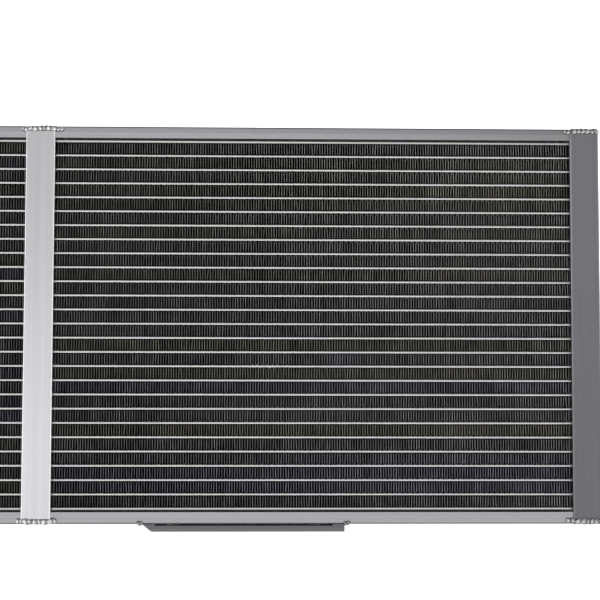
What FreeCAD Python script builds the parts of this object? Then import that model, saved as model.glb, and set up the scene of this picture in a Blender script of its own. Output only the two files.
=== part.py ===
import FreeCAD, Part
import os

# Hydraulic oil cooler: two brazed tube-and-fin cores side by side, three welded box tanks,
# side rails and a mounting foot.
# Frame: +X to the right along the cooler, +Y from front to back, +Z up.
# Origin: centre of the foot's underside, in the middle of the cooler's width and of the core's depth.
# All sizes are in millimetres.

Vector = FreeCAD.Vector

# ---------------------------------------------------------------- driving dimensions
# Cores
tube_count = 25            # flat oil tubes in each core
tube_pitch = 12.0          # tube spacing, up the core
tube_thickness = 2.0       # outside thickness of a flat tube, and of a core end plate
tube_wall = 0.35
core_depth = 50.0          # tubes and fins, front to back
main_core_width = 440.0    # between the middle tank and the right tank
small_core_width = 92.0    # between the left tank and the middle tank

# Air fins: one folded strip per row
fin_spacing = 2.16         # from one fin wall to the next
fin_sheet = 0.12
fin_crest = 0.30           # flat on each fold, where it is brazed to the tube
fin_end_gap = 1.5          # from the last fold to the tank

# Turbulators: one folded strip inside each tube
turbulator_spacing = 4.0
turbulator_sheet = 0.2

# Tanks
tank_width = 25.0
tank_wall = 3.0
tank_edge_radius = 1.5
tank_beyond_core = 7.0     # from the end plate's outer face to the end of the tank's walls
header_thickness = 2.5
header_recess = 1.0        # header plate, set back from the tank's open side
header_border = 2.0        # header plate, past the tubes at the front and back
tube_stickout = 3.0        # tube end, past the header plate
slot_clearance = 0.05      # all round a tube in its header slot
baffle_thickness = 2.0

# Tank end caps and their weld beads
cap_thickness = 4.0
cap_ledge = 2.0            # cap edge, in from the tank's outside
bead_overhang = 1.0
bead_drop = 1.0            # bead, down the tank's outside
bead_rise = 0.4            # bead, above the cap
bead_radius = 1.6

# Side rails
rail_gap = 1.5             # between the core's end plate and the rail's flanges
rail_height = 10.0
rail_set_back = 1.5        # rail's front and back, in from the tanks'
rail_sheet = 2.0
rail_lean = 0.5            # lean of the outer half of a flange
rail_edge_radius = 1.4

# Mounting foot
foot_length = 170.0
foot_set_back = 0.5        # foot's front and back, in from the rail's
foot_height = 6.5
foot_sheet = 3.0
foot_slit = 1.3            # between the foot's lips and the rail
foot_pad_length = 10.0     # raised end of each lip, welded to the rail
foot_bevel = 8.0           # slanting left end of the front lip
foot_edge_radius = 1.8
foot_bolt_spacing = 120.0
foot_bolt_hole_radius = 4.2
foot_weld_size = 3.0
foot_weld_length = 5.0
nut_height = 6.5           # M8 clinch nut
nut_radius = 7.0
nut_thread_radius = 3.4
nut_clearance_radius = 8.5

# Ports, G 1/2
port_block_width = 30.0
port_block_height = 34.0
port_block_depth = 22.0
port_block_corner = 4.0
port_thread_radius = 9.3
port_thread_depth = 16.0
port_oilway_radius = 6.0
port_from_end = 34.0       # port's middle, in from the end of the tank's walls
port_weld_size = 3.0

# ---------------------------------------------------------------- sizes that follow
end_plate_level = (tube_count + 1) / 2 * tube_pitch
end_plate_outer = end_plate_level + tube_thickness / 2
rail_inner_level = end_plate_outer + rail_gap
rail_outer_level = rail_inner_level + rail_height
tank_half_height = end_plate_outer + tank_beyond_core
core_middle = foot_height + rail_outer_level
tank_depth = core_depth + 2 * (header_border + tank_wall)
rail_depth = tank_depth - 2 * rail_set_back
foot_depth = rail_depth - 2 * foot_set_back

overall_width = 3 * tank_width + main_core_width + small_core_width
left_tank_x = -overall_width / 2
small_core_x = left_tank_x + tank_width
middle_tank_x = small_core_x + small_core_width
main_core_x = middle_tank_x + tank_width
right_tank_x = main_core_x + main_core_width

tube_levels = [core_middle + (i - (tube_count - 1) / 2) * tube_pitch for i in range(tube_count)]
fin_levels = [core_middle + (i - tube_count / 2) * tube_pitch for i in range(tube_count + 1)]
fin_height = tube_pitch - tube_thickness
tube_reach = header_recess + header_thickness + tube_stickout
port_from_middle = tank_half_height - port_from_end
port_levels = [core_middle - port_from_middle, core_middle + port_from_middle]
foot_bolt_places = [-foot_bolt_spacing / 2, foot_bolt_spacing / 2]


# ---------------------------------------------------------------- shape helpers
def box(x0, x1, y0, y1, z0, z1):
    """Box between two corners."""
    return Part.makeBox(x1 - x0, y1 - y0, z1 - z0, Vector(x0, y0, z0))


def prism(points, direction):
    """Closed outline of 3-D points, pushed along a vector."""
    outline = Part.makePolygon(points + [points[0]])
    return Part.Face(outline).extrude(direction)


def flat_wire(x, level, half_depth, half_height):
    """Flat-tube outline in the YZ plane: two straight sides and two round edges."""
    straight = half_depth - half_height
    low, high = level - half_height, level + half_height
    front = Part.Arc(Vector(x, -straight, high), Vector(x, -half_depth, level), Vector(x, -straight, low))
    back = Part.Arc(Vector(x, straight, low), Vector(x, half_depth, level), Vector(x, straight, high))
    bottom = Part.LineSegment(Vector(x, -straight, low), Vector(x, straight, low))
    top = Part.LineSegment(Vector(x, straight, high), Vector(x, -straight, high))
    return Part.Wire([front.toShape(), bottom.toShape(), back.toShape(), top.toShape()])


def fold_points(fold_count, spacing, height, sheet, crest):
    """Closed outline of a folded strip as (along, up) pairs, centred on (0, 0).

    Each fold has a flat crest outside and a sharp bend inside. The strip fills the height.
    """
    rise = height - sheet
    run = spacing - crest
    lift = sheet * (run ** 2 + rise ** 2) ** 0.5 / run
    half = height / 2
    first = -fold_count * spacing / 2
    upper = []
    lower = []
    for i in range(fold_count + 1):
        along = first + i * spacing
        if i % 2 == 0:
            lower += [(along - crest / 2, -half), (along + crest / 2, -half)]
            upper += [(along, -half + lift)]
        else:
            upper += [(along - crest / 2, half), (along + crest / 2, half)]
            lower += [(along, half - lift)]
    return lower + upper[::-1]


def rounded_edges(shape, radius, is_wanted):
    """Shape with the wanted edges rounded."""
    return shape.makeFillet(radius, [edge for edge in shape.Edges if is_wanted(edge)])


def runs_along(edge, axis):
    """True for a straight edge along the axis 'x', 'y' or 'z'."""
    ends = [vertex.Point for vertex in edge.Vertexes]
    if len(ends) != 2:
        return False
    step = ends[1] - ends[0]
    across = [abs(getattr(step, name)) for name in "xyz" if name != axis]
    return max(across) < 1e-6


def save(name, solids):
    """Write one node as a STEP file."""
    shape = solids[0] if len(solids) == 1 else Part.makeCompound(solids)
    shape.exportStep("parts/" + name + ".step")


# ---------------------------------------------------------------- cores
def core_tubes(core_x, width):
    """Flat tubes, through the header plates on both sides."""
    x = core_x - tube_reach
    half_depth = core_depth / 2
    half_height = tube_thickness / 2
    tubes = []
    for level in tube_levels:
        outside = flat_wire(x, level, half_depth, half_height)
        inside = flat_wire(x, level, half_depth - tube_wall, half_height - tube_wall)
        tubes.append(Part.Face([outside, inside]).extrude(Vector(width + 2 * tube_reach, 0, 0)))
    return tubes


def core_turbulators(core_x, width):
    """Folded strips inside the tubes, brazed to their flat walls."""
    height = tube_thickness - 2 * tube_wall
    room = core_depth - tube_thickness
    crest = turbulator_spacing / 2
    fold_count = int((room - crest) / turbulator_spacing)
    outline = fold_points(fold_count, turbulator_spacing, height, turbulator_sheet, crest)
    strips = []
    for level in tube_levels:
        points = [Vector(core_x, along, level + up) for along, up in outline]
        strips.append(prism(points, Vector(width, 0, 0)))
    return strips


def core_fins(core_x, width):
    """Folded air fin strips, one between each two tubes and at both ends of the core."""
    fold_count = int((width - 2 * fin_end_gap) / fin_spacing)
    outline = fold_points(fold_count, fin_spacing, fin_height, fin_sheet, fin_crest)
    middle = core_x + width / 2
    strips = []
    for level in fin_levels:
        points = [Vector(middle + along, -core_depth / 2, level + up) for along, up in outline]
        strips.append(prism(points, Vector(0, core_depth, 0)))
    return strips


def core_end_plates(core_x, width):
    """Plates below the first and above the last fin strip, from header to header."""
    x0 = core_x - header_recess
    x1 = core_x + width + header_recess
    plates = []
    for side in (-1, 1):
        level = core_middle + side * end_plate_level
        half = tube_thickness / 2
        plates.append(box(x0, x1, -core_depth / 2, core_depth / 2, level - half, level + half))
    return plates


def header_plate(x0):
    """Plate with a slot for each tube, between the tank's front and back walls."""
    half_depth = tank_depth / 2 - tank_wall
    low = core_middle - tank_half_height
    high = core_middle + tank_half_height
    corners = [(-half_depth, low), (half_depth, low), (half_depth, high), (-half_depth, high)]
    points = [Vector(x0, y, z) for y, z in corners]
    outline = Part.makePolygon(points + [points[0]])
    half_slot_depth = core_depth / 2 + slot_clearance
    half_slot_height = tube_thickness / 2 + slot_clearance
    slots = [flat_wire(x0, level, half_slot_depth, half_slot_height) for level in tube_levels]
    return Part.Face([outline] + slots).extrude(Vector(header_thickness, 0, 0))


# ---------------------------------------------------------------- tanks
def tank_block(x0):
    """Outside of a tank, with rounded upright edges."""
    low = core_middle - tank_half_height
    high = core_middle + tank_half_height
    block = box(x0, x0 + tank_width, -tank_depth / 2, tank_depth / 2, low, high)
    return rounded_edges(block, tank_edge_radius, lambda edge: runs_along(edge, "z"))


def tank_hollow(x0, x1):
    """Inside of a tank chamber, between the front and back walls."""
    half_depth = tank_depth / 2 - tank_wall
    low = core_middle - tank_half_height - 1
    high = core_middle + tank_half_height + 1
    return box(x0, x1, -half_depth, half_depth, low, high)


def outer_tank(tank_x, outer_side):
    """Channel that closes a core's outer side, with oilways for its two ports."""
    if outer_side < 0:
        hollow = tank_hollow(tank_x + tank_wall, tank_x + tank_width + 1)
    else:
        hollow = tank_hollow(tank_x - 1, tank_x + tank_width - tank_wall)
    shell = tank_block(tank_x).cut(hollow)
    for level in port_levels:
        start = Vector(tank_x + tank_width / 2, 0, level)
        shell = shell.cut(Part.makeCylinder(port_oilway_radius, tank_depth, start, Vector(0, 1, 0)))
    return shell


def middle_tank(tank_x):
    """Extrusion open to both cores, with a wall between the two oil circuits."""
    wall_x0 = tank_x + (tank_width - tank_wall) / 2
    wall_x1 = wall_x0 + tank_wall
    shell = tank_block(tank_x).cut(tank_hollow(tank_x - 1, wall_x0))
    return shell.cut(tank_hollow(wall_x1, tank_x + tank_width + 1))


def pass_baffle(tank_x, outer_side):
    """Plate across an outer tank, half a pitch above its middle tube."""
    half_depth = tank_depth / 2 - tank_wall
    header_far_side = header_recess + header_thickness
    if outer_side < 0:
        x0, x1 = tank_x + tank_wall, tank_x + tank_width - header_far_side
    else:
        x0, x1 = tank_x + header_far_side, tank_x + tank_width - tank_wall
    level = core_middle + (tube_pitch - baffle_thickness) / 2
    return box(x0, x1, -half_depth, half_depth, level, level + baffle_thickness)


def end_caps(tank_x):
    """Plates on the bottom and top ends of a tank."""
    half_depth = tank_depth / 2 - cap_ledge
    x0, x1 = tank_x + cap_ledge, tank_x + tank_width - cap_ledge
    low = core_middle - tank_half_height
    high = core_middle + tank_half_height
    bottom = box(x0, x1, -half_depth, half_depth, low - cap_thickness, low)
    top = box(x0, x1, -half_depth, half_depth, high, high + cap_thickness)
    return [bottom, top]


def end_beads(tank_x, outer_side):
    """Weld beads round a tank's end caps. A side that meets a rail has no overhang."""
    x0 = tank_x - (bead_overhang if outer_side < 0 else 0)
    x1 = tank_x + tank_width + (bead_overhang if outer_side > 0 else 0)
    half_depth = tank_depth / 2 + bead_overhang
    tank = tank_block(tank_x)
    beads = []
    for side, cap in zip((-1, 1), end_caps(tank_x)):
        near = core_middle + side * (tank_half_height - bead_drop)
        far = core_middle + side * (tank_half_height + cap_thickness + bead_rise)
        low, high = min(near, far), max(near, far)
        block = box(x0, x1, -half_depth, half_depth, low, high)
        block = rounded_edges(block, bead_radius, lambda edge: not runs_along(edge, "z"))
        inside = cap.BoundBox
        block = block.cut(box(inside.XMin, inside.XMax, inside.YMin, inside.YMax, low, high))
        beads.append(block.cut(tank))
    return beads


# ---------------------------------------------------------------- ports
def port_blocks(tank_x):
    """Threaded blocks on the back of an outer tank."""
    centre = tank_x + tank_width / 2
    back = tank_depth / 2
    half_width = port_block_width / 2
    half_height = port_block_height / 2
    blocks = []
    along = Vector(0, 1, 0)
    for level in port_levels:
        block = box(centre - half_width, centre + half_width, back, back + port_block_depth,
                    level - half_height, level + half_height)
        block = rounded_edges(block, port_block_corner, lambda edge: runs_along(edge, "y"))
        oilway = Part.makeCylinder(port_oilway_radius, port_block_depth, Vector(centre, back, level), along)
        thread_start = Vector(centre, back + port_block_depth - port_thread_depth, level)
        thread = Part.makeCylinder(port_thread_radius, port_thread_depth, thread_start, along)
        blocks.append(block.cut(oilway).cut(thread))
    return blocks


def port_welds(tank_x):
    """Fillet welds above and below each port block, on the tank's back wall."""
    back = tank_depth / 2
    x0 = tank_x + port_block_corner
    length = tank_width - 2 * port_block_corner
    welds = []
    for level in port_levels:
        for side in (-1, 1):
            root = level + side * port_block_height / 2
            toe = root + side * port_weld_size
            points = [Vector(x0, back, root), Vector(x0, back + port_weld_size, root), Vector(x0, back, toe)]
            welds.append(prism(points, Vector(length, 0, 0)))
    return welds


# ---------------------------------------------------------------- side rails
def rail(core_x, width, side):
    """Folded channel from tank to tank, open towards the core. The flanges' outer halves lean in."""
    half = rail_depth / 2
    outer = rail_outer_level
    crease = rail_outer_level - rail_height / 2
    inner = rail_inner_level
    web = outer - rail_sheet
    section = [(-half, inner), (-half, crease), (-half + rail_lean, outer),
               (half - rail_lean, outer), (half, crease), (half, inner),
               (half - rail_sheet, inner), (half - rail_sheet, web),
               (-half + rail_sheet, web), (-half + rail_sheet, inner)]
    points = [Vector(core_x, y, core_middle + side * z) for y, z in section]
    channel = prism(points, Vector(width, 0, 0))
    corner = core_middle + side * outer

    def is_outer_corner(edge):
        return runs_along(edge, "x") and abs(edge.Vertexes[0].Z - corner) < 1e-6

    return rounded_edges(channel, rail_edge_radius, is_outer_corner)


def main_bottom_rail():
    """Bottom rail over the foot, with holes that clear the foot's nuts."""
    channel = rail(main_core_x, main_core_width, -1)
    for place in foot_bolt_places:
        start = Vector(place, 0, foot_height)
        channel = channel.cut(Part.makeCylinder(nut_clearance_radius, rail_sheet, start))
    return channel


# ---------------------------------------------------------------- mounting foot
def foot_lip(y0, y1, bevel):
    """Upright edge of the foot. Its raised ends reach the rail."""
    end = foot_length / 2
    slit = foot_height - foot_slit
    outline = [(-end + bevel, 0), (end, 0), (end, foot_height), (end - foot_pad_length, foot_height),
               (end - foot_pad_length, slit), (-end + foot_pad_length, slit),
               (-end + foot_pad_length, foot_height), (-end, foot_height)]
    points = [Vector(x, y0, z) for x, z in outline]
    return prism(points, Vector(0, y1 - y0, 0))


def mounting_foot():
    """Shallow channel with two bolt holes. The front lip's left end slants."""
    half = foot_depth / 2
    end = foot_length / 2
    base = box(-end + foot_bevel, end, -half + foot_sheet, half - foot_sheet, 0, foot_sheet)
    foot = base.fuse([foot_lip(-half, -half + foot_sheet, foot_bevel), foot_lip(half - foot_sheet, half, 0)])
    for place in foot_bolt_places:
        foot = foot.cut(Part.makeCylinder(foot_bolt_hole_radius, foot_sheet, Vector(place, 0, 0)))
    foot = foot.removeSplitter()

    def is_bottom_corner(edge):
        point = edge.Vertexes[0].Point
        return runs_along(edge, "x") and abs(point.z) < 1e-6 and abs(abs(point.y) - half) < 1e-6

    return rounded_edges(foot, foot_edge_radius, is_bottom_corner)


def foot_nuts():
    """Clinch nuts over the foot's bolt holes."""
    nuts = []
    for place in foot_bolt_places:
        body = Part.makeCylinder(nut_radius, nut_height, Vector(place, 0, foot_sheet))
        thread = Part.makeCylinder(nut_thread_radius, nut_height, Vector(place, 0, foot_sheet))
        nuts.append(body.cut(thread))
    return nuts


def foot_welds():
    """Fillet welds where the foot's raised ends meet the rail."""
    end = foot_length / 2
    half = foot_depth / 2
    welds = []
    for side in (-1, 1):
        x = side * end
        for y0 in (-half, half - foot_weld_length):
            points = [Vector(x, y0, foot_height), Vector(x + side * foot_weld_size, y0, foot_height),
                      Vector(x, y0, foot_height - foot_weld_size)]
            welds.append(prism(points, Vector(0, foot_weld_length, 0)))
    return welds


# ---------------------------------------------------------------- assembly
os.makedirs("parts", exist_ok=True)

for name, core_x, width in (("main_core", main_core_x, main_core_width),
                            ("small_core", small_core_x, small_core_width)):
    save(name + "_tubes", core_tubes(core_x, width))
    save(name + "_turbulators", core_turbulators(core_x, width))
    save(name + "_air_fins", core_fins(core_x, width))
    save(name + "_end_plates", core_end_plates(core_x, width))

header_inset = header_recess + header_thickness
save("small_core_left_header", [header_plate(small_core_x - header_inset)])
save("small_core_right_header", [header_plate(middle_tank_x + header_recess)])
save("main_core_left_header", [header_plate(main_core_x - header_inset)])
save("main_core_right_header", [header_plate(right_tank_x + header_recess)])

save("left_tank", [outer_tank(left_tank_x, -1)])
save("middle_tank", [middle_tank(middle_tank_x)])
save("right_tank", [outer_tank(right_tank_x, 1)])
save("left_tank_pass_baffle", [pass_baffle(left_tank_x, -1)])
save("right_tank_pass_baffle", [pass_baffle(right_tank_x, 1)])

tanks = (("left", left_tank_x, -1), ("middle", middle_tank_x, 0), ("right", right_tank_x, 1))
for name, tank_x, outer_side in tanks:
    save(name + "_tank_end_caps", end_caps(tank_x))
    save(name + "_tank_end_welds", end_beads(tank_x, outer_side))

save("left_port_blocks", port_blocks(left_tank_x))
save("right_port_blocks", port_blocks(right_tank_x))
save("left_port_welds", port_welds(left_tank_x))
save("right_port_welds", port_welds(right_tank_x))

save("main_top_rail", [rail(main_core_x, main_core_width, 1)])
save("main_bottom_rail", [main_bottom_rail()])
save("small_top_rail", [rail(small_core_x, small_core_width, 1)])
save("small_bottom_rail", [rail(small_core_x, small_core_width, -1)])

save("mounting_foot", [mounting_foot()])
save("foot_clinch_nuts", foot_nuts())
save("foot_welds", foot_welds())
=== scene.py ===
"""Hydraulic oil cooler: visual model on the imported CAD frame. Metres, +Z up, front towards -Y."""

import math
import random

import bpy
from mathutils import Matrix, Vector


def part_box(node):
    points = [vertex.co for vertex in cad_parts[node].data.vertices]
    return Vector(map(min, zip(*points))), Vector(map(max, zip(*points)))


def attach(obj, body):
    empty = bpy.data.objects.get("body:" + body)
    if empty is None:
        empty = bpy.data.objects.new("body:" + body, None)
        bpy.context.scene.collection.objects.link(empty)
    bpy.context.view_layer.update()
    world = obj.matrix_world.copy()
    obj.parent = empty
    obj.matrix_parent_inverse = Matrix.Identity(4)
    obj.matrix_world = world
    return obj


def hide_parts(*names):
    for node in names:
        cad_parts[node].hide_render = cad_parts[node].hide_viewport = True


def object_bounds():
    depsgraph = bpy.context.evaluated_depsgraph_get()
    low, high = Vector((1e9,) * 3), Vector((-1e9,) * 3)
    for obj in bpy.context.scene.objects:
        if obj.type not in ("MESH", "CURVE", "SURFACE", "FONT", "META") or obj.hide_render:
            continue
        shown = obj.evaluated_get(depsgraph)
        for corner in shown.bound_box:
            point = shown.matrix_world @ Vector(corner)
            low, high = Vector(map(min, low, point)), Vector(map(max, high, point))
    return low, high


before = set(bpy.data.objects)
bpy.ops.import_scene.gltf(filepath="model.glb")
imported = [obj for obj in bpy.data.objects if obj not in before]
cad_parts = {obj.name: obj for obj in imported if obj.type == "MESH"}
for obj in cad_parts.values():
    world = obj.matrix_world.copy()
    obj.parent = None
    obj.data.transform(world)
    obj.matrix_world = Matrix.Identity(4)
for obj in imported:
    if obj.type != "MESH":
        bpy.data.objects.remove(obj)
cad_low, cad_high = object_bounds()

MM = 0.001

# ---------------------------------------------------------------- sizes
TUBE_COUNT = 25

FIN_SPACING = 2.16 * MM
FIN_SHEET = 0.26 * MM
FIN_BEND = 0.5 * MM            # rounding where a fin turns onto a tube
FIN_WAVE = 1.15 * MM           # sideways wave of the fins through the depth of the core
FIN_WAVE_STEPS = 8
FIN_DRIFT = 0.05 * MM          # spread of the shift from one wall to the next
FIN_LEAN = 0.10 * MM           # spread of the walls' lean
FIN_RAGGED = 0.25 * MM         # most that a front edge stands back

BEAD_RADIUS = 2.7 * MM
BEAD_RIPPLE = 3.9 * MM         # from one pool to the next
BEAD_STEP = 0.34 * MM          # from one ring of points to the next
BEAD_SIDES = 28                # points in a ring
BEAD_TOES = (58, -50)          # degrees up from a bead's outward side, where its pools end
BEAD_INSET = 1.3 * MM          # from a tank's outline to the middle of the bead round its end
BEAD_OFFSET = 2.0 * MM         # from a tank's end to the middle of its bead
BEAD_CORNER = 2.2 * MM
LOBE_RADIUS = BEAD_RADIUS * 0.95
FOOT_BEAD_RADIUS = 2.0 * MM
PORT_BEAD_RADIUS = 2.2 * MM

PORT_SEGMENTS = 128            # points round a port
PORT_BEVEL = 1.0 * MM
PORT_CORNER = 4 * MM
PORT_HEIGHT = 34 * MM
THREAD_MINOR = 9.3 * MM
THREAD_ROOT = 10.4 * MM
THREAD_PITCH = 1.814 * MM
THREAD_DEPTH = 16 * MM
THREAD_STEPS = 6               # rows of points to one pitch
MOUTH_WIDTH = 0.7 * MM         # chamfer at the mouth of a thread
MOUTH_DEPTH = 1 * MM
DRILL_POINT = 1.9 * MM         # depth of the cone below a thread
OILWAY_RADIUS = 6 * MM

tubes_low, tubes_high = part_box("main_core_tubes")
plates_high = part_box("main_core_end_plates")[1]
rail_low, rail_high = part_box("main_top_rail")
foot_low, foot_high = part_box("mounting_foot")

core_middle = (tubes_low.z + tubes_high.z) / 2
plate_thickness = 2 * MM
tube_pitch = (tubes_high.z - tubes_low.z - plate_thickness) / (TUBE_COUNT - 1)
fin_height = tube_pitch - plate_thickness


# ---------------------------------------------------------------- mesh helpers
def mesh_piece(name, vertices, faces, material, smooth=True):
    """New mesh object that rides on the one body of this part."""
    mesh = bpy.data.meshes.new(name)
    mesh.from_pydata(vertices, [], faces)
    mesh.validate()
    mesh.materials.append(material)
    if smooth:
        mesh.polygons.foreach_set("use_smooth", [True] * len(mesh.polygons))
    piece = bpy.data.objects.new(name, mesh)
    bpy.context.scene.collection.objects.link(piece)
    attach(piece, "root")
    return piece


def grid_faces(rows, columns, close_columns=False, flip=False):
    """Quads between neighbouring points of a rows by columns grid."""
    faces = []
    last = columns if close_columns else columns - 1
    for i in range(rows - 1):
        for j in range(last):
            k = (j + 1) % columns
            here, above = i * columns, (i + 1) * columns
            quad = (here + j, above + j, above + k, here + k)
            faces.append(quad[::-1] if flip else quad)
    return faces


# ---------------------------------------------------------------- node helpers
class Nodes:
    """Short way to build a node material."""

    def __init__(self, name):
        self.material = bpy.data.materials.new(name)
        self.material.use_nodes = True
        self.tree = self.material.node_tree
        self.shader = self.tree.nodes["Principled BSDF"]

    def add(self, kind, settings=None, inputs=None):
        """Node with its settings and input values or links."""
        node = self.tree.nodes.new(kind)
        for key, value in (settings or {}).items():
            setattr(node, key, value)
        for key, value in (inputs or {}).items():
            self.feed(node.inputs[key], value)
        return node

    def feed(self, socket, value):
        """Link if the value is a socket, else a constant."""
        if isinstance(value, bpy.types.NodeSocket):
            self.tree.links.new(value, socket)
        else:
            socket.default_value = value

    def math(self, operation, first, second=0.0):
        node = self.add("ShaderNodeMath", {"operation": operation})
        self.feed(node.inputs[0], first)
        self.feed(node.inputs[1], second)
        return node.outputs[0]

    def product(self, first, *others):
        """All the factors multiplied, in order."""
        for other in others:
            first = self.math("MULTIPLY", first, other)
        return first

    def fade(self, value, start, end, low=0.0, high=1.0):
        """Smooth change from low to high as value goes from start to end."""
        node = self.add("ShaderNodeMapRange", {"interpolation_type": "SMOOTHSTEP"})
        for socket, number in zip(node.inputs, (value, start, end, low, high)):
            self.feed(socket, number)
        return node.outputs[0]

    def coordinates(self):
        """Place of the surface point in its object, which is also its place on the part."""
        return self.add("ShaderNodeTexCoord").outputs["Object"]

    def axes(self, vector):
        """X, Y and Z of a vector, by name."""
        return self.add("ShaderNodeSeparateXYZ", inputs={"Vector": vector}).outputs

    def height(self):
        return self.axes(self.coordinates())["Z"]

    def from_core_middle(self):
        """How far above or below the middle of the core the surface point is."""
        return self.math("ABSOLUTE", self.math("SUBTRACT", self.height(), core_middle))

    def noise(self, stretch, detail=3.0, roughness=0.55):
        """Noise on the coordinates times stretch along X, Y and Z: the larger, the finer."""
        inputs = {"Vector": self.coordinates(), "Scale": stretch}
        vector = self.add("ShaderNodeMapping", inputs=inputs).outputs[0]
        inputs = {"Vector": vector, "Scale": 1.0, "Detail": detail, "Roughness": roughness}
        return self.add("ShaderNodeTexNoise", inputs=inputs).outputs["Fac"]

    def mix(self, factor, first, second, blend="MIX"):
        node = self.add("ShaderNodeMix", {"data_type": "RGBA", "blend_type": blend})
        self.feed(node.inputs[0], factor)
        self.feed(node.inputs[6], first)
        self.feed(node.inputs[7], second)
        return node.outputs[2]

    def shade(self, colour, amount):
        """Colour times a number."""
        grey = self.add("ShaderNodeCombineColor", inputs={"Red": amount, "Green": amount, "Blue": amount})
        return self.mix(1.0, colour, grey.outputs[0], "MULTIPLY")

    def bump(self, height, distance, strength=1.0):
        inputs = {"Height": height, "Distance": distance, "Strength": strength}
        return self.add("ShaderNodeBump", inputs=inputs).outputs[0]

    def finish(self, colour, roughness, normal=None, metallic=1.0):
        self.feed(self.shader.inputs["Base Color"], colour)
        self.feed(self.shader.inputs["Roughness"], roughness)
        self.feed(self.shader.inputs["Metallic"], metallic)
        if normal is not None:
            self.feed(self.shader.inputs["Normal"], normal)
        return self.material


def rgb(red, green, blue):
    return (red, green, blue, 1.0)


# ---------------------------------------------------------------- materials
def satin_aluminium(name, colour, streaks, roughness=0.42, edge_shade=0.45,
                    height_shading=(1.0, 1.0), corner=0.0, tone=None):
    """Drawn or rolled aluminium. streaks is the stretch of its fine lines along X, Y and Z.

    Rounded edges that turn up or down are painted darker by edge_shade, as painted shade,
    and level faces get most of that back.
    heights holds the factors on the colour at the bottom and the top of the part: painted light and shade
    that changes with height.
    corner is how strong a painted highlight on the rounded upright corners is, from 0 to 1.
    tone is a function that gives one more factor on the colour, as a socket.
    """
    nodes = Nodes(name)
    fine = nodes.noise(streaks, 4.0, 0.7)
    bands = nodes.noise([scale * 0.25 for scale in streaks], 2.0)
    grit = nodes.noise((2600, 2600, 2600), 2.0)
    normal = nodes.axes(nodes.add("ShaderNodeNewGeometry").outputs["Normal"])
    upright = nodes.math("ABSOLUTE", normal["Z"])
    # Painted shade on rounded edges that turn up or down; level faces get most of it back.
    edge = nodes.fade(upright, 0.15, 0.6, 1.0, 1.0 - edge_shade)
    level_face = nodes.fade(upright, 0.88, 0.99, 0.0, edge_shade * 0.8)
    amount = nodes.product(
        nodes.fade(fine, 0.25, 0.75, 0.955, 1.035),
        nodes.fade(bands, 0.3, 0.7, 0.955, 1.035),
        nodes.fade(grit, 0.3, 0.7, 0.985, 1.015),
        nodes.math("ADD", edge, level_face),
        # Painted light and shade that changes from the bottom to the top of the part.
        nodes.fade(nodes.height(), cad_low.z, cad_high.z, *height_shading))
    if tone:
        amount = nodes.product(amount, tone(nodes))
    surface = nodes.shade(colour, amount)
    rough = nodes.math("ADD", roughness, nodes.fade(fine, 0.2, 0.8, -0.05, 0.07))
    # Painted highlight on the rounded upright corners, which also makes them smoother.
    if corner:
        turned = nodes.math("ABSOLUTE", nodes.product(normal["X"], normal["Y"]))
        corner_highlight = nodes.fade(turned, 0.08, 0.38, 0.0, corner)
        surface = nodes.mix(corner_highlight, surface, rgb(0.92, 0.92, 0.93))
        rough = nodes.math("SUBTRACT", rough, nodes.product(corner_highlight, 0.14))
    relief = nodes.math("ADD", fine, nodes.product(grit, 0.5))
    return nodes.finish(surface, rough, nodes.bump(relief, 0.02 * MM, 0.5))


def rail_painted_shading(nodes):
    """Painted shade on a rail's flange past its crease, along the crease and at its outer edge, and a
    painted highlight at its inner lip.
    """
    away = nodes.from_core_middle()
    inner = plates_high.z - core_middle + 1.5 * MM
    crease = inner + 5.0 * MM
    outer = rail_high.z - core_middle
    # Painted shade past the crease and in a line along it.
    step = nodes.fade(away, crease - 0.5 * MM, crease + 0.3 * MM, 1.0, 0.94)
    line = nodes.math("ABSOLUTE", nodes.math("SUBTRACT", away, crease + 0.2 * MM))
    groove = nodes.fade(line, 0.0, 0.5 * MM, 0.90, 1.0)
    # Painted highlight along the inner lip, painted shade along the outer edge.
    lip = nodes.fade(away, inner + 0.3 * MM, inner + 1.2 * MM, 1.07, 1.0)
    edge = nodes.fade(away, outer - 1.8 * MM, outer - 0.4 * MM, 1.0, 0.60)
    outside = nodes.fade(away, outer - 0.12 * MM, outer - 0.03 * MM, 0.0, 0.36)
    return nodes.product(nodes.product(step, groove), nodes.product(lip, nodes.math("ADD", edge, outside)))


def foot_painted_shading(nodes):
    """The foot is lighter towards its lower edge and has painted shade higher up, under the rail."""
    lighter_low_shaded_high = nodes.fade(nodes.height(), 0.8 * MM, 3.2 * MM, 1.18, 0.90)
    # Painted shade along the foot's rounded bottom edge.
    return nodes.product(lighter_low_shaded_high, nodes.fade(nodes.height(), 0.0, 0.7 * MM, 0.75, 1.0))


def plate_edge_shade(nodes):
    """Painted shade along both edges of an end plate, in place of rounded edges."""
    level = plates_high.z - core_middle - plate_thickness / 2
    away = nodes.math("ABSOLUTE", nodes.math("SUBTRACT", nodes.from_core_middle(), level))
    return nodes.fade(away, 0.35 * MM, 0.85 * MM, 0.92, 0.2)


def tube_aluminium(name, tone=None):
    """Clad tube: bright, with slightly warmer and cooler stretches where the braze has run."""
    nodes = Nodes(name)
    stain = nodes.noise((18, 18, 60))
    run = nodes.noise((260, 260, 500))
    cool, warm = rgb(0.575, 0.575, 0.59), rgb(0.585, 0.58, 0.565)
    colour = nodes.mix(nodes.fade(stain, 0.35, 0.65), cool, warm)
    amount = nodes.fade(run, 0.3, 0.7, 0.90, 1.06)
    if tone:
        amount = nodes.product(amount, tone(nodes))
    rough = nodes.fade(run, 0.3, 0.7, 0.40, 0.55)
    return nodes.finish(nodes.shade(colour, amount), rough, nodes.bump(run, 0.05 * MM, 0.6))


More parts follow.
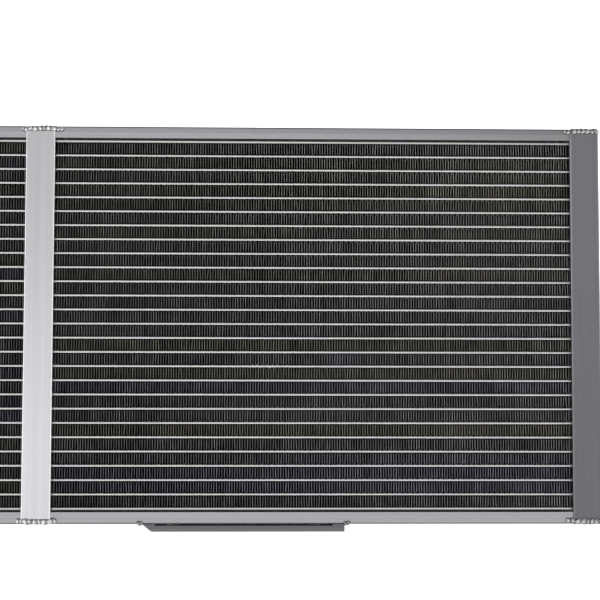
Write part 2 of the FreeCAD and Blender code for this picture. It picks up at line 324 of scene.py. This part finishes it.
def fin_aluminium():
    """Thin fin sheet: light at its front and back edges, dark inside with dust and painted shade."""
    nodes = Nodes("fin_aluminium")
    place = nodes.axes(nodes.coordinates())
    wall = nodes.noise((230, 3, 22), 3.0, 0.7)
    patch = nodes.noise((30, 8, 60), 2.0)
    depth = nodes.math("SUBTRACT", tubes_high.y, nodes.math("ABSOLUTE", place["Y"]))
    level = nodes.math("DIVIDE", nodes.math("SUBTRACT", place["Z"], core_middle), tube_pitch)
    row = nodes.math("SUBTRACT", nodes.math("FRACT", level), 0.5)
    amount = nodes.product(
        nodes.product(
            # Dust and painted shade, darker deeper in the core.
            nodes.fade(depth, 0.05 * MM, 1.6 * MM, 1.0, 0.02),
            # Painted shade along the bends where the fins meet the tubes.
            nodes.fade(nodes.math("ABSOLUTE", row), 0.31, 0.39, 1.0, 0.05)),
        nodes.fade(wall, 0.30, 0.72, 0.45, 1.25),
        nodes.fade(patch, 0.3, 0.7, 0.8, 1.15),
        # Painted light: the fins are painted lighter towards +X.
        nodes.fade(place["X"], tubes_low.x, tubes_high.x, 0.78, 1.72))
    tint = nodes.add("ShaderNodeObjectInfo").outputs["Random"]
    colour = nodes.mix(tint, rgb(0.235, 0.243, 0.288), rgb(0.266, 0.255, 0.211))
    rough = nodes.fade(wall, 0.3, 0.7, 0.5, 0.65)
    nodes.feed(nodes.shader.inputs["Specular IOR Level"], 0.15)
    bumps = nodes.bump(wall, 0.1 * MM, 0.5)
    return nodes.finish(nodes.shade(colour, amount), rough, bumps, metallic=0.25)


def weld_aluminium(name, painted_light_level):
    """Fresh weld metal, with a painted highlight on its crowns and painted shade in the valleys between
    the ripples.

    Each bead stores in its points how near they are to a crown, from 0 to 1.
    """
    nodes = Nodes(name)
    grain = nodes.noise((900, 900, 900), 4.0)
    patch = nodes.noise((160, 160, 160), 2.0)
    crown = nodes.add("ShaderNodeAttribute", {"attribute_name": "crown"}).outputs["Fac"]
    # Painted shade in the valleys and along the toes, painted highlight on the crowns.
    valley_shade = nodes.fade(crown, 0.04, 0.34, 0.08, 0.50)
    crown_highlight = nodes.fade(crown, 0.78, 1.0, 0.0, 0.5)
    amount = nodes.product(nodes.math("ADD", valley_shade, crown_highlight), nodes.fade(patch, 0.3, 0.7, 0.72, 1.06))
    rough = nodes.fade(grain, 0.3, 0.7, 0.30, 0.46)
    # The brightness is painted light and shade, set for the part the weld sits on.
    colour = nodes.shade(rgb(painted_light_level, painted_light_level, painted_light_level * 1.02), amount)
    return nodes.finish(colour, rough, nodes.bump(grain, 0.06 * MM, 0.5))


def machined_aluminium():
    """Milled blocks, with fine tool marks across Y."""
    nodes = Nodes("machined_aluminium")
    marks = nodes.noise((60, 4500, 60))
    broad = nodes.noise((40, 40, 40), 2.0)
    amount = nodes.product(
        nodes.fade(marks, 0.3, 0.7, 0.93, 1.04),
        nodes.fade(broad, 0.3, 0.7, 0.95, 1.02))
    colour = nodes.shade(rgb(0.50, 0.50, 0.515), amount)
    rough = nodes.fade(marks, 0.2, 0.8, 0.30, 0.42)
    return nodes.finish(colour, rough, nodes.bump(marks, 0.02 * MM, 0.5))


def zinc_plated():
    """Steel nut with a spangled zinc coat."""
    nodes = Nodes("nut_steel")
    spangle = nodes.noise((420, 420, 420))
    colour = nodes.shade(rgb(0.62, 0.62, 0.58), nodes.fade(spangle, 0.3, 0.7, 0.88, 1.05))
    return nodes.finish(colour, nodes.fade(spangle, 0.2, 0.8, 0.28, 0.42))


# Stretches of the noise: fine across the streaks, long along them.
upright_streaks = (1400, 1400, 9)
level_streaks = (7, 1600, 1600)
# The tanks are one aluminium in a painted lit copy and a painted shaded copy, with painted highlights on
# their corners.
material_tank_painted_lit = satin_aluminium(
    "tank_painted_lit", rgb(0.66, 0.654, 0.676), upright_streaks, height_shading=(0.84, 0.565), corner=0.6)
material_tank_painted_shade = satin_aluminium(
    "tank_painted_shade", rgb(0.205, 0.204, 0.220), upright_streaks, height_shading=(0.70, 0.98), corner=0.05)
material_rail = satin_aluminium(
    "rail_aluminium", rgb(0.37, 0.366, 0.386), level_streaks,
    edge_shade=0.6, height_shading=(0.92, 0.84), tone=rail_painted_shading)
# The foot's colour is set darker than the rail's: painted shade under the rail.
material_foot = satin_aluminium(
    "foot_aluminium", rgb(0.145, 0.143, 0.150), level_streaks,
    roughness=0.5, edge_shade=0.3, tone=foot_painted_shading)
material_tube = tube_aluminium("tube_aluminium")
material_end_plate = tube_aluminium("end_plate_aluminium", plate_edge_shade)
material_fin = fin_aluminium()
# The welds are one metal in painted lit, painted shaded and painted dark copies.
material_weld_painted_lit = weld_aluminium("weld_painted_lit", 0.80)
material_weld_painted_shade = weld_aluminium("weld_painted_shade", 0.58)
material_weld_painted_dark = weld_aluminium("weld_painted_dark", 0.36)
material_machined = machined_aluminium()
material_nut = zinc_plated()

NODE_MATERIALS = {
    "main_core_tubes": material_tube,
    "small_core_tubes": material_tube,
    "main_core_end_plates": material_end_plate,
    "small_core_end_plates": material_end_plate,
    "main_core_turbulators": material_fin,
    "small_core_turbulators": material_fin,
    "left_tank": material_tank_painted_shade,
    "left_tank_end_caps": material_tank_painted_shade,
    "right_tank": material_tank_painted_shade,
    "right_tank_end_caps": material_tank_painted_shade,
    "left_port_blocks": material_machined,
    "right_port_blocks": material_machined,
    "main_top_rail": material_rail,
    "main_bottom_rail": material_rail,
    "small_top_rail": material_rail,
    "small_bottom_rail": material_rail,
    "mounting_foot": material_foot,
    "foot_clinch_nuts": material_nut,
}


def paint_cad_nodes():
    """Gives every CAD node its finished material."""
    for name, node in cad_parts.items():
        material = NODE_MATERIALS.get(name, material_tank_painted_lit)
        node.data.materials.clear()
        node.data.materials.append(material)


# ---------------------------------------------------------------- air fins
def fin_path(x0, x1, low, high, rng):
    """Front outline of a folded strip as (x, z) points. Each wall leans and sits a little differently."""
    count = round((x1 - x0) / FIN_SPACING)
    spacing = (x1 - x0 - FIN_SHEET) / (count - 1)
    points = []
    drift = 0.0
    for i in range(count):
        drift = 0.8 * drift + rng.gauss(0, FIN_DRIFT)
        middle = x0 + FIN_SHEET / 2 + i * spacing + drift
        lean = rng.gauss(0.0, FIN_LEAN)
        bottom = (middle - lean, low)
        top = (middle + lean, high)
        first, last = (bottom, top) if i % 2 == 0 else (top, bottom)
        inward = FIN_BEND if i % 2 == 0 else -FIN_BEND
        if i > 0:
            points.append((first[0] - FIN_BEND, first[1]))
        points.append((first[0], first[1] + inward))
        points.append((last[0], last[1] - inward))
        if i < count - 1:
            points.append((last[0] + FIN_BEND, last[1]))
    return points


def path_normals(points):
    """Unit normals of a 2-D path."""
    normals = []
    for i in range(len(points)):
        before = points[max(i - 1, 0)]
        after = points[min(i + 1, len(points) - 1)]
        dx, dz = after[0] - before[0], after[1] - before[1]
        length = math.hypot(dx, dz)
        normals.append((-dz / length, dx / length))
    return normals


def fin_strip(name, x0, x1, low, high, rng):
    """One folded fin strip, waved from front to back."""
    path = fin_path(x0, x1, low + FIN_SHEET / 2, high - FIN_SHEET / 2, rng)
    normals = path_normals(path)
    columns = len(path)
    rows = FIN_WAVE_STEPS + 1
    y0, y1 = tubes_low.y, tubes_high.y
    vertices = []
    ragged = [rng.uniform(0.0, FIN_RAGGED) for _ in range(columns // 4 + 1)]
    for side in (-1, 1):
        for j in range(rows):
            share = j / FIN_WAVE_STEPS
            wave = FIN_WAVE * math.sin(share * 4 * math.pi)
            for i in range(columns):
                edge_inset = ragged[i // 4] * (1 if j == 0 else 0)
                x = path[i][0] + side * normals[i][0] * FIN_SHEET / 2 + wave
                z = path[i][1] + side * normals[i][1] * FIN_SHEET / 2
                vertices.append((x, y0 + (y1 - y0) * share + edge_inset, z))
    faces = grid_faces(rows, columns)
    offset = rows * columns
    faces += [tuple(index + offset for index in face) for face in grid_faces(rows, columns, flip=True)]
    back = (rows - 1) * columns
    for i in range(columns - 1):
        faces.append((i, i + 1, offset + i + 1, offset + i))
        faces.append((back + i + 1, back + i, offset + back + i, offset + back + i + 1))
    for j in range(rows - 1):
        near, far = j * columns, (j + 1) * columns
        faces.append((near, offset + near, offset + far, far))
        near, far = near + columns - 1, far + columns - 1
        faces.append((far, offset + far, offset + near, near))
    return mesh_piece(name, vertices, faces, material_fin, smooth=False)


def make_fins(core):
    """Fin strips of one core, from bottom to top, in place of its CAD fins."""
    low_corner, high_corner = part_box(core + "_air_fins")
    rng = random.Random(core)
    for row in range(TUBE_COUNT + 1):
        level = core_middle + (row - TUBE_COUNT / 2) * tube_pitch
        low, high = level - fin_height / 2, level + fin_height / 2
        name = "%s_fin_strip_%02d" % (core, row + 1)
        strip = fin_strip(name, low_corner.x, high_corner.x, low, high, rng)
        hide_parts(core + "_air_fins")


# ---------------------------------------------------------------- weld beads
def spread(points, step, closed):
    """Evenly spaced points along straight runs between the given points."""
    result = []
    ends = points + [points[0]] if closed else points
    for start, end in zip(ends, ends[1:]):
        count = max(1, round((end - start).length / step))
        result += [start.lerp(end, i / count) for i in range(count)]
    if not closed:
        result.append(points[-1])
    return result


def rounded_loop(x0, x1, y0, y1, z, radius):
    """Corner points of a rounded rectangle, anticlockwise from above."""
    points = []
    corners = ((x1, y0, -90), (x1, y1, 0), (x0, y1, 90), (x0, y0, 180))
    for x, y, start in corners:
        centre_x = x - radius if x == x1 else x + radius
        centre_y = y - radius if y == y1 else y + radius
        for turn in range(0, 91, 15):
            angle = math.radians(start + turn)
            x_out, y_out = radius * math.cos(angle), radius * math.sin(angle)
            points.append(Vector((centre_x + x_out, centre_y + y_out, z)))
    return points


def ripple_edges(ripples, slant, rng):
    """Crevices between the pools of a bead: place along it in ripples, bulge and tilt of each."""
    return [(k + rng.uniform(-0.22, 0.22), slant * rng.uniform(0.4, 0.75), rng.uniform(-0.28, 0.28))
            for k in range(ripples)]


def pool_and_crown(place, angle, edges):
    """Pool that a point of a bead lies in, and how near it is to that pool's crown, from 0 to 1."""
    pool, before, after = 0, place - 1.0, None
    for k in range(int(place) - 2, int(place) + 4):
        lap, index = divmod(k, len(edges))
        middle, bulge, tilt = edges[index]
        crevice = middle + lap * len(edges) + bulge * (math.cos(angle) - 1) + tilt * math.sin(angle)
        if crevice <= place:
            pool, before = index, crevice
        elif after is None:
            after = crevice
    return pool, math.sin(math.pi * (place - before) / (after - before))


def toe(angle):
    """From 0 at the line of painted shade where a bead's pools end to 1 away from it."""
    degrees = (math.degrees(angle) + 180) % 360 - 180
    away = min(abs(degrees - line) for line in BEAD_TOES)
    return min(max((away - 4) / 14, 0.0), 1.0)


def bead(name, points, closed, radius, rng, material, slant=0.9):
    """Rippled weld bead along a path: a row of overlapping oval pools."""
    path = spread(points, BEAD_STEP, closed)
    count = len(path)
    ripples = max(2, round(count * BEAD_STEP / BEAD_RIPPLE))
    sizes = [rng.uniform(0.88, 1.08) for _ in range(ripples)]
    nudges = [Vector([rng.uniform(-1, 1) for _ in range(3)]) * radius * 0.09 for _ in range(ripples)]
    edges = ripple_edges(ripples, slant, rng)
    vertices = []
    crowns = []
    for i in range(count):
        if closed:
            along = (path[(i + 1) % count] - path[i - 1]).normalized()
        else:
            along = (path[min(i + 1, count - 1)] - path[max(i - 1, 0)]).normalized()
        up = Vector((0, 0, 1)) if abs(along.z) < 0.9 else Vector((1, 0, 0))
        out = along.cross(up).normalized()
        up = out.cross(along)
        share = i / count if closed else i / (count - 1)
        taper = 1.0 if closed else max(0.05, 1 - abs(2 * share - 1) ** 3.5) ** 0.5
        for side in range(BEAD_SIDES):
            angle = 2 * math.pi * side / BEAD_SIDES
            pool, crown = pool_and_crown(share * ripples, angle, edges)
            swell = crown ** 0.6
            size = radius * taper * sizes[pool] * (0.66 + 0.38 * swell)
            centre = path[i] + nudges[pool] * swell
            crowns.append(crown * toe(angle))
            vertices.append(centre + (out * math.cos(angle) + up * math.sin(angle)) * size)
    faces = grid_faces(count, BEAD_SIDES, close_columns=True)
    if closed:
        last = (count - 1) * BEAD_SIDES
        for side in range(BEAD_SIDES):
            after = (side + 1) % BEAD_SIDES
            faces.append((last + side, side, after, last + after))
    else:
        faces.append(tuple(range(BEAD_SIDES)))
        faces.append(tuple(range((count - 1) * BEAD_SIDES, count * BEAD_SIDES))[::-1])
    piece = mesh_piece(name, vertices, faces, material)
    piece.data.attributes.new("crown", "FLOAT", "POINT").data.foreach_set("value", crowns)
    return piece


def tank_beads(tank, material, lobes):
    """Beads round both ends of a tank, with short lobes that run onto the rails.

    lobes gives the length of each lobe by (end, side): end and side are -1 or 1.
    """
    rng = random.Random(tank)
    low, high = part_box(tank)
    x0, x1 = low.x + BEAD_INSET, high.x - BEAD_INSET
    y0, y1 = low.y + BEAD_INSET, high.y - BEAD_INSET
    replaced = tank + "_end_welds"
    for end in (-1, 1):
        end_name = "top" if end > 0 else "bottom"
        level = (high.z + BEAD_OFFSET) if end > 0 else (low.z - BEAD_OFFSET)
        loop = rounded_loop(x0, x1, y0, y1, level, BEAD_CORNER)
        name = "%s_%s_weld" % (tank, end_name)
        ring = bead(name, loop, True, BEAD_RADIUS, rng, material, slant=0.9 * end)
        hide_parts(replaced)
        for side in (-1, 1):
            length = lobes.get((end, side))
            if not length:
                continue
            x = high.x if side > 0 else low.x
            side_name = "right" if side > 0 else "left"
            for face_name, y, depth in (("front", rail_low.y, -1), ("back", rail_high.y, 1)):
                start = Vector((x - side * 2.0 * MM, y - depth * 0.2 * MM, level - end * 0.6 * MM))
                stop = start + Vector((side * (length + 2.0 * MM), -depth * 0.5 * MM, end * 0.4 * MM))
                name = "%s_%s_%s_%s_lobe" % (tank, end_name, side_name, face_name)
                ends = [stop, start] if side * depth > 0 else [start, stop]
                lobe = bead(name, ends, False, LOBE_RADIUS, rng, material, slant=0.7)
                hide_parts(replaced)


def foot_beads():
    """Short welds at the foot's ends, front and back."""
    rng = random.Random("foot")
    for side, side_name in ((-1, "left"), (1, "right")):
        x = foot_high.x if side > 0 else foot_low.x
        for y, face_name in ((rail_low.y, "front"), (rail_high.y, "back")):
            inward = 1.0 * MM if y < 0 else -1.0 * MM
            start = Vector((x - side * 1.0 * MM, y + inward, foot_high.z + 0.4 * MM))
            stop = Vector((x + side * 5.0 * MM, y + inward * 0.6, foot_high.z + 1.6 * MM))
            name = "foot_%s_%s_weld" % (side_name, face_name)
            piece = bead(name, [start, stop], False, FOOT_BEAD_RADIUS, rng, material_weld_painted_dark)
            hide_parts("foot_welds")


def port_beads(side_name):
    """Fillet beads above and below each port block."""
    rng = random.Random(side_name)
    tank_low, tank_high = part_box(side_name + "_tank")
    blocks_low, blocks_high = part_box(side_name + "_port_blocks")
    levels = (blocks_low.z, blocks_low.z + PORT_HEIGHT, blocks_high.z - PORT_HEIGHT, blocks_high.z)
    for number, level in enumerate(levels, 1):
        away = -1 if number % 2 else 1
        y, z = tank_high.y + 0.4 * MM, level + away * 0.5 * MM
        start = Vector((tank_low.x + 3 * MM, y, z))
        stop = Vector((tank_high.x - 1 * MM, y, z))
        name = "%s_port_weld_%d" % (side_name, number)
        piece = bead(name, [start, stop], False, PORT_BEAD_RADIUS, rng, material_weld_painted_shade)
        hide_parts(side_name + "_port_welds")


# ---------------------------------------------------------------- port blocks
def rounded_reach(angle, half_width, half_height, corner):
    """Distance from the middle of a rounded rectangle to its outline, in the direction of angle."""
    across, up = abs(math.cos(angle)), abs(math.sin(angle))
    reach = min(half_width / max(across, 1e-9), half_height / max(up, 1e-9))
    centre_x, centre_z = half_width - corner, half_height - corner
    if reach * across > centre_x and reach * up > centre_z:
        along = across * centre_x + up * centre_z
        off = across * centre_z - up * centre_x
        reach = along + math.sqrt(corner ** 2 - off ** 2)
    return reach


def port_profile(angle, half_width, half_height, depth):
    """Outline of a port block's section at an angle about its port, as (radius, depth from the tank)."""
    side = rounded_reach(angle, half_width, half_height, PORT_CORNER)
    inset = (half_width - PORT_BEVEL, half_height - PORT_BEVEL, PORT_CORNER - PORT_BEVEL)
    face = rounded_reach(angle, *inset)
    mouth = THREAD_ROOT + MOUTH_WIDTH
    points = [(side, 0.0), (side, depth - PORT_BEVEL), (face, depth), (mouth, depth)]
    rows = round((THREAD_DEPTH - MOUTH_DEPTH) / THREAD_PITCH * THREAD_STEPS)
    for row in range(rows + 1):
        turn = row / THREAD_STEPS + angle / (2 * math.pi)
        groove = 1 - abs(2 * (turn % 1.0) - 1)
        runout = min(1.0, (rows - row) / THREAD_STEPS)
        radius = THREAD_MINOR + (THREAD_ROOT - THREAD_MINOR) * groove * runout
        points.append((radius, depth - MOUTH_DEPTH - row * THREAD_PITCH / THREAD_STEPS))
    bottom = depth - THREAD_DEPTH
    oilway = [(OILWAY_RADIUS, bottom - DRILL_POINT), (OILWAY_RADIUS, 0.0)]
    return points + [(THREAD_MINOR, bottom)] + oilway


def port_block(name, centre, half_width, depth, node):
    """Bevelled block with a threaded port that opens away from the tank."""
    angles = [2 * math.pi * i / PORT_SEGMENTS for i in range(PORT_SEGMENTS)]
    columns = [port_profile(angle, half_width, PORT_HEIGHT / 2, depth) for angle in angles]
    rows = len(columns[0])
    vertices = []
    for row in range(rows):
        for angle, column in zip(angles, columns):
            radius, out = column[row]
            vertices.append(centre + Vector((radius * math.cos(angle), out, radius * math.sin(angle))))
    faces = grid_faces(rows, PORT_SEGMENTS, close_columns=True)
    last = (rows - 1) * PORT_SEGMENTS
    for i in range(PORT_SEGMENTS):
        after = (i + 1) % PORT_SEGMENTS
        faces.append((last + i, i, after, last + after))
    piece = mesh_piece(name, vertices, faces, material_machined, smooth=False)
    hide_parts(node)


def port_blocks(side_name):
    """Lower and upper port block of an outer tank."""
    node = side_name + "_port_blocks"
    low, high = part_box(node)
    middle_x = (low.x + high.x) / 2
    for level_name, z in (("lower", low.z + PORT_HEIGHT / 2), ("upper", high.z - PORT_HEIGHT / 2)):
        centre = Vector((middle_x, low.y, z))
        name = "%s_%s_port_block" % (side_name, level_name)
        port_block(name, centre, (high.x - low.x) / 2, high.y - low.y, node)


# ---------------------------------------------------------------- studio
def flat_stage(name, corners, colour, glow):
    """Plain pale sheet of the studio."""
    nodes = Nodes(name)
    mottle = nodes.fade(nodes.noise((3, 3, 3), 2.0), 0.3, 0.7, 0.995, 1.0)
    nodes.finish(nodes.shade(colour, mottle), 0.9, metallic=0.0)
    nodes.feed(nodes.shader.inputs["Emission Color"], rgb(1, 1, 1))
    nodes.feed(nodes.shader.inputs["Emission Strength"], glow)
    mesh = bpy.data.meshes.new(name)
    mesh.from_pydata(corners, [], [(0, 1, 2, 3)])
    mesh.materials.append(nodes.material)
    sheet = bpy.data.objects.new(name, mesh)
    bpy.context.scene.collection.objects.link(sheet)


def area_light(name, place, target, width, height, power):
    """Soft rectangular lamp that faces a point."""
    data = bpy.data.lights.new(name, "AREA")
    data.shape = "RECTANGLE"
    data.size, data.size_y = width, height
    data.energy = power
    lamp = bpy.data.objects.new(name, data)
    lamp.location = place
    lamp.rotation_mode = "QUATERNION"
    lamp.rotation_quaternion = (Vector(target) - Vector(place)).to_track_quat("-Z", "Y")
    bpy.context.scene.collection.objects.link(lamp)


def studio():
    """White room, with broad lamps in front, on both sides and above.

    The world lights the part softly, but the camera sees it as plain white.
    """
    far = 6
    pale = rgb(0.9, 0.9, 0.9)
    flat_stage("floor", [(-far, -far, 0), (far, -far, 0), (far, far, 0), (-far, far, 0)], pale, 0.85)
    flat_stage("backdrop", [(-far, far, 0), (far, far, 0), (far, far, far), (-far, far, far)], pale, 1.0)
    world = bpy.data.worlds.new("studio")
    world.use_nodes = True
    tree = world.node_tree
    soft = tree.nodes["Background"]
    soft.inputs["Color"].default_value = rgb(0.92, 0.92, 0.92)
    soft.inputs["Strength"].default_value = 0.25
    white = tree.nodes.new("ShaderNodeBackground")
    white.inputs["Color"].default_value = rgb(1, 1, 1)
    blend = tree.nodes.new("ShaderNodeMixShader")
    tree.links.new(tree.nodes.new("ShaderNodeLightPath").outputs["Is Camera Ray"], blend.inputs[0])
    tree.links.new(soft.outputs[0], blend.inputs[1])
    tree.links.new(white.outputs[0], blend.inputs[2])
    tree.links.new(blend.outputs[0], tree.nodes["World Output"].inputs["Surface"])
    bpy.context.scene.world = world
    middle = (0, 0, core_middle)
    area_light("front_light", (-0.4, -2.4, 0.9), middle, 2.2, 1.6, 15.5)
    area_light("left_light", (-2.2, -1.0, 0.5), middle, 1.3, 1.8, 15)
    area_light("top_light", (0, -0.2, 2.3), middle, 2.6, 1.2, 12)
    area_light("right_light", (2.2, -1.0, 0.5), middle, 1.3, 1.8, 15)
    scene = bpy.context.scene
    scene.view_settings.view_transform = "Standard"
    scene.view_settings.look = "None"


def camera():
    """Level with the lower half of the core, close to square on."""
    data = bpy.data.cameras.new("camera")
    data.sensor_width = 36
    data.lens = 72
    data.clip_start, data.clip_end = 0.05, 30
    view = bpy.data.objects.new("camera", data)
    place = Matrix.Translation((0.0252, -1.0465, 0.1372))
    turn = Matrix.Rotation(math.radians(-1.236), 4, "Z")
    tilt = Matrix.Rotation(math.radians(90 + 3.268), 4, "X")
    roll = Matrix.Rotation(math.radians(0.111), 4, "Z")
    view.matrix_world = place @ turn @ tilt @ roll
    bpy.context.scene.collection.objects.link(view)
    bpy.context.scene.camera = view


# ---------------------------------------------------------------- build
camera()
studio()
paint_cad_nodes()
make_fins("main_core")
make_fins("small_core")
tank_beads("left_tank", material_weld_painted_shade, {(-1, 1): 6 * MM, (1, 1): 6 * MM})
tank_beads("middle_tank", material_weld_painted_lit,
           {(-1, -1): 4 * MM, (-1, 1): 5 * MM, (1, -1): 3.5 * MM, (1, 1): 7.5 * MM})
tank_beads("right_tank", material_weld_painted_shade, {(-1, -1): 6.5 * MM, (1, -1): 5 * MM})
foot_beads()
port_beads("left")
port_beads("right")
port_blocks("left")
port_blocks("right")
